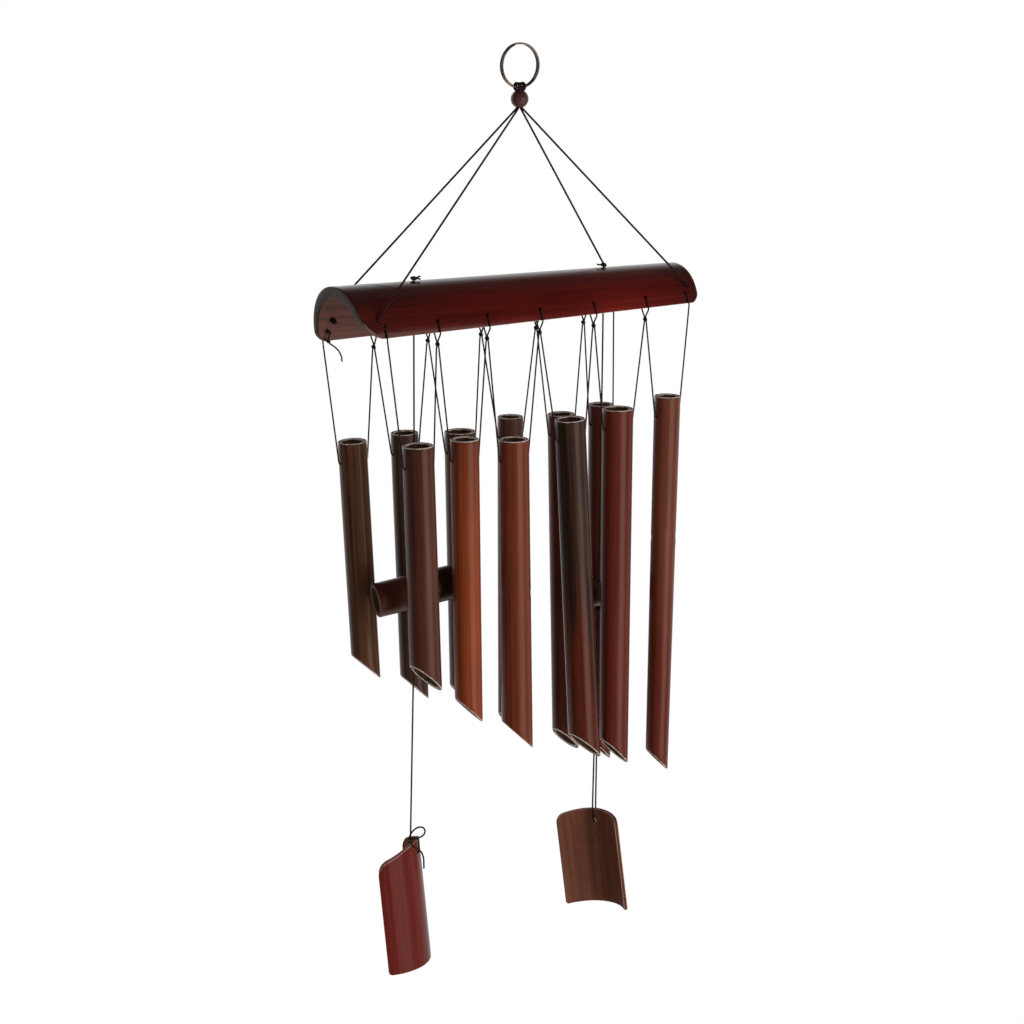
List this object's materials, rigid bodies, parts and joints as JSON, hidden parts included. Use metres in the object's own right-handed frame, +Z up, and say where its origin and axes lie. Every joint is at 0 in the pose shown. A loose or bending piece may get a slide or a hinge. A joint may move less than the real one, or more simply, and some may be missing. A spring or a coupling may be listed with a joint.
{
  "type": "bamboo wind chime",
  "caption": "Hanging bamboo wind chime: split-culm roof on cords from a ring, two rows of slant-cut tubes on cords, strikers between the rows and split-bamboo sails below.",
  "frame": {"origin": "inner top of the hanging ring, where a hook carries it", "axes": "+X along the roof to the right, -Y the front row of tubes, +Z up"},
  "size_m": [0.2456, 0.0801, 0.5683],
  "materials": {
    "ring_steel": "round bright steel wire",
    "bead_wood": "turned wood, satin red-brown lacquer",
    "cord": "twisted black-brown cord",
    "roof_bamboo": "split bamboo culm, glossy red-brown lacquer",
    "front_tube_1": "stained bamboo tube, satin lacquer, pale cut ends",
    "front_tube_2": "stained bamboo tube, satin lacquer, pale cut ends",
    "front_tube_3": "stained bamboo tube, satin lacquer, pale cut ends",
    "front_tube_4": "stained bamboo tube, satin lacquer, pale cut ends",
    "front_tube_5": "stained bamboo tube, satin lacquer, pale cut ends",
    "front_tube_6": "stained bamboo tube, satin lacquer, pale cut ends",
    "back_tube_1": "stained bamboo tube, satin lacquer, pale cut ends",
    "back_tube_2": "stained bamboo tube, satin lacquer, pale cut ends",
    "back_tube_3": "stained bamboo tube, satin lacquer, pale cut ends",
    "back_tube_4": "stained bamboo tube, satin lacquer, pale cut ends",
    "back_tube_5": "stained bamboo tube, satin lacquer, pale cut ends",
    "back_tube_6": "stained bamboo tube, satin lacquer, pale cut ends",
    "striker_left_bamboo": "stained bamboo, satin lacquer",
    "striker_right_bamboo": "stained bamboo, satin lacquer",
    "sail_left_bamboo": "split bamboo, burgundy lacquer outside",
    "sail_right_bamboo": "split bamboo, lacquered outside, bare brown inside"
  },
  "bodies": {
    "ring": {"hang_ring": "ring_steel"},
    "hanger": {"bead": "bead_wood", "hanger_cord_left": "cord", "hanger_cord_right": "cord", "roof": "roof_bamboo", "front_eave_loops": "cord", "back_eave_loops": "cord"},
    "front_cord_1_body": {"front_cord_1": "cord"},
    "front_tube_1_body": {"front_tube_1": "front_tube_1"},
    "front_cord_2_body": {"front_cord_2": "cord"},
    "front_tube_2_body": {"front_tube_2": "front_tube_2"},
    "front_cord_3_body": {"front_cord_3": "cord"},
    "front_tube_3_body": {"front_tube_3": "front_tube_3"},
    "front_cord_4_body": {"front_cord_4": "cord"},
    "front_tube_4_body": {"front_tube_4": "front_tube_4"},
    "front_cord_5_body": {"front_cord_5": "cord"},
    "front_tube_5_body": {"front_tube_5": "front_tube_5"},
    "front_cord_6_body": {"front_cord_6": "cord"},
    "front_tube_6_body": {"front_tube_6": "front_tube_6"},
    "back_cord_1_body": {"back_cord_1": "cord"},
    "back_tube_1_body": {"back_tube_1": "back_tube_1"},
    "back_cord_2_body": {"back_cord_2": "cord"},
    "back_tube_2_body": {"back_tube_2": "back_tube_2"},
    "back_cord_3_body": {"back_cord_3": "cord"},
    "back_tube_3_body": {"back_tube_3": "back_tube_3"},
    "back_cord_4_body": {"back_cord_4": "cord"},
    "back_tube_4_body": {"back_tube_4": "back_tube_4"},
    "back_cord_5_body": {"back_cord_5": "cord"},
    "back_tube_5_body": {"back_tube_5": "back_tube_5"},
    "back_cord_6_body": {"back_cord_6": "cord"},
    "back_tube_6_body": {"back_tube_6": "back_tube_6"},
    "ridge_knot_left_body": {"ridge_knot_left": "cord"},
    "striker_line_left": {"striker_cord_left": "cord"},
    "striker_left_body": {"striker_left": "striker_left_bamboo"},
    "stop_knot_left_body": {"stop_knot_left": "cord"},
    "sail_left_body": {"sail_cord_left": "cord", "sail_left": "sail_left_bamboo", "sail_bow_left": "cord"},
    "ridge_knot_right_body": {"ridge_knot_right": "cord"},
    "striker_line_right": {"striker_cord_right": "cord"},
    "striker_right_body": {"striker_right": "striker_right_bamboo"},
    "stop_knot_right_body": {"stop_knot_right": "cord"},
    "sail_right_body": {"sail_cord_right": "cord", "sail_right": "sail_right_bamboo"}
  },
  "joints": [
    {"name": "chime_swing", "type": "hinge", "parent": "ring", "child": "hanger", "pos_m": [0, 0, -0.02505], "axis": [1, 0, 0], "range_deg": [-25, 25]},
    {"name": "front_cord_1_swing", "type": "hinge", "parent": "hanger", "child": "front_cord_1_body", "pos_m": [-0.1108, -0.03332, -0.16343], "axis": [0.9819, 0.1042, -0.1582], "range_deg": [-12, 2.5]},
    {"name": "front_tube_1_tilt", "type": "hinge", "parent": "front_cord_1_body", "child": "front_tube_1_body", "pos_m": [-0.08857, -0.03067, -0.2405], "axis": [0.9993, 0, 0.0366], "range_deg": [-10, 2.9]},
    {"name": "front_cord_2_swing", "type": "hinge", "parent": "hanger", "child": "front_cord_2_body", "pos_m": [-0.07493, -0.02951, -0.16921], "axis": [0.9998, 0.011, 0.0193], "range_deg": [-20, 0.9]},
    {"name": "front_tube_2_tilt", "type": "hinge", "parent": "front_cord_2_body", "child": "front_tube_2_body", "pos_m": [-0.05595, -0.02928, -0.2402], "axis": [0.9998, 0, 0.0209], "range_deg": [-10, 1.1]},
    {"name": "front_cord_3_swing", "type": "hinge", "parent": "hanger", "child": "front_cord_3_body", "pos_m": [-0.04057, -0.02914, -0.16854], "axis": [0.9997, 0.0115, 0.0192], "range_deg": [-20, 2.5]},
    {"name": "front_tube_3_tilt", "type": "hinge", "parent": "front_cord_3_body", "child": "front_tube_3_body", "pos_m": [-0.02113, -0.02889, -0.244], "axis": [0.9997, 0, 0.0227], "range_deg": [-10, 2.5]},
    {"name": "front_cord_4_swing", "type": "hinge", "parent": "hanger", "child": "front_cord_4_body", "pos_m": [-0.0031, -0.02871, -0.16782], "axis": [0.9997, 0.0121, 0.0191], "range_deg": [-20, 2.5]},
    {"name": "front_tube_4_tilt", "type": "hinge", "parent": "front_cord_4_body", "child": "front_tube_4_body", "pos_m": [0.02063, -0.02833, -0.2358], "axis": [0.9978, 0, 0.0663], "range_deg": [-10, 2.5]},
    {"name": "front_cord_5_swing", "type": "hinge", "parent": "hanger", "child": "front_cord_5_body", "pos_m": [0.03637, -0.02823, -0.16707], "axis": [0.9997, 0.0127, 0.019], "range_deg": [-20, 1.7]},
    {"name": "front_tube_5_tilt", "type": "hinge", "parent": "front_cord_5_body", "child": "front_tube_5_body", "pos_m": [0.0555, -0.02798, -0.2328], "axis": [1, 0, 0.0052], "range_deg": [-10, 1.7]},
    {"name": "front_cord_6_swing", "type": "hinge", "parent": "hanger", "child": "front_cord_6_body", "pos_m": [0.07523, -0.02773, -0.16633], "axis": [0.9688, -0.0991, 0.227], "range_deg": [-12, 5.3]},
    {"name": "front_tube_6_tilt", "type": "hinge", "parent": "front_cord_6_body", "child": "front_tube_6_body", "pos_m": [0.09202, -0.02932, -0.2281], "axis": [0.9999, 0, -0.0105], "range_deg": [-10, 4.2]},
    {"name": "back_cord_1_swing", "type": "hinge", "parent": "hanger", "child": "back_cord_1_body", "pos_m": [-0.1164, 0.03332, -0.17363], "axis": [0.9848, -0.0979, -0.1435], "range_deg": [-1.2, 12]},
    {"name": "back_tube_1_tilt", "type": "hinge", "parent": "back_cord_1_body", "child": "back_tube_1_body", "pos_m": [-0.09773, 0.03102, -0.2475], "axis": [0.9982, 0, 0.0593], "range_deg": [-1.5, 10]},
    {"name": "back_cord_2_swing", "type": "hinge", "parent": "hanger", "child": "back_cord_2_body", "pos_m": [-0.08365, 0.03006, -0.1784], "axis": [0.9998, -0.0047, 0.0217], "range_deg": [-2.9, 20]},
    {"name": "back_tube_2_tilt", "type": "hinge", "parent": "back_cord_2_body", "child": "back_tube_2_body", "pos_m": [-0.06212, 0.02995, -0.2457], "axis": [0.9991, 0, 0.0419], "range_deg": [-3.5, 10]},
    {"name": "back_cord_3_swing", "type": "hinge", "parent": "hanger", "child": "back_cord_3_body", "pos_m": [-0.0458, 0.02989, -0.17758], "axis": [0.9998, -0.0052, 0.0217], "range_deg": [-2.5, 20]},
    {"name": "back_tube_3_tilt", "type": "hinge", "parent": "back_cord_3_body", "child": "back_tube_3_body", "pos_m": [-0.02258, 0.02975, -0.2489], "axis": [0.9997, 0, 0.0262], "range_deg": [-2.5, 10]},
    {"name": "back_cord_4_swing", "type": "hinge", "parent": "hanger", "child": "back_cord_4_body", "pos_m": [-0.00775, 0.02969, -0.17675], "axis": [0.9997, -0.0058, 0.0218], "range_deg": [-2.5, 20]},
    {"name": "back_tube_4_tilt", "type": "hinge", "parent": "back_cord_4_body", "child": "back_tube_4_body", "pos_m": [0.01418, 0.02955, -0.2432], "axis": [0.9999, 0, 0.0105], "range_deg": [-2.5, 10]},
    {"name": "back_cord_5_swing", "type": "hinge", "parent": "hanger", "child": "back_cord_5_body", "pos_m": [0.0327, 0.02945, -0.17587], "axis": [0.9997, -0.0065, 0.0219], "range_deg": [-2.3, 20]},
    {"name": "back_tube_5_tilt", "type": "hinge", "parent": "back_cord_5_body", "child": "back_tube_5_body", "pos_m": [0.05257, 0.0293, -0.2452], "axis": [0.9996, 0, 0.0297], "range_deg": [-2, 10]},
    {"name": "back_cord_6_swing", "type": "hinge", "parent": "hanger", "child": "back_cord_6_body", "pos_m": [0.06845, 0.02922, -0.17508], "axis": [0.9649, 0.1187, 0.2342], "range_deg": [-2.9, 12]},
    {"name": "back_tube_6_tilt", "type": "hinge", "parent": "back_cord_6_body", "child": "back_tube_6_body", "pos_m": [0.08478, 0.03136, -0.2424], "axis": [1, 0, 0.0087], "range_deg": [-2.9, 10]},
    {"name": "striker_left_sway", "type": "hinge", "parent": "hanger", "child": "ridge_knot_left_body", "pos_m": [-0.0735, 0, -0.14235], "axis": [0, 1, 0], "range_deg": [-5, 5]},
    {"name": "striker_left_swing", "type": "hinge", "parent": "ridge_knot_left_body", "child": "striker_line_left", "pos_m": [-0.0735, 0, -0.14235], "axis": [1, 0, 0], "range_deg": [-1.2, 1.7]},
    {"name": "striker_left_spin", "type": "hinge", "parent": "striker_line_left", "child": "striker_left_body", "pos_m": [-0.0735, 0, -0.3245], "axis": [0, 0, 1], "range_deg": [-7, 23]},
    {"name": "sail_left_swing", "type": "hinge", "parent": "striker_line_left", "child": "stop_knot_left_body", "pos_m": [-0.0735, 0, -0.33765], "axis": [1, 0, 0], "range_deg": [-15, 15]},
    {"name": "sail_left_spin", "type": "hinge", "parent": "stop_knot_left_body", "child": "sail_left_body", "pos_m": [-0.0735, 0, -0.33765], "axis": [0, 0, 1], "continuous": true},
    {"name": "striker_right_sway", "type": "hinge", "parent": "hanger", "child": "ridge_knot_right_body", "pos_m": [0.063, 0, -0.14324], "axis": [0, 1, 0], "range_deg": [-5, 5]},
    {"name": "striker_right_swing", "type": "hinge", "parent": "ridge_knot_right_body", "child": "striker_line_right", "pos_m": [0.063, 0, -0.14324], "axis": [1, 0, 0], "range_deg": [-2.6, 3.5]},
    {"name": "striker_right_spin", "type": "hinge", "parent": "striker_line_right", "child": "striker_right_body", "pos_m": [0.063, 0, -0.3447], "axis": [0, 0, 1], "range_deg": [-33, 19]},
    {"name": "sail_right_swing", "type": "hinge", "parent": "striker_line_right", "child": "stop_knot_right_body", "pos_m": [0.063, 0, -0.3552], "axis": [1, 0, 0], "range_deg": [-9, 10]},
    {"name": "sail_right_spin", "type": "hinge", "parent": "stop_knot_right_body", "child": "sail_right_body", "pos_m": [0.063, 0, -0.3552], "axis": [0, 0, 1], "continuous": true}
  ]
}
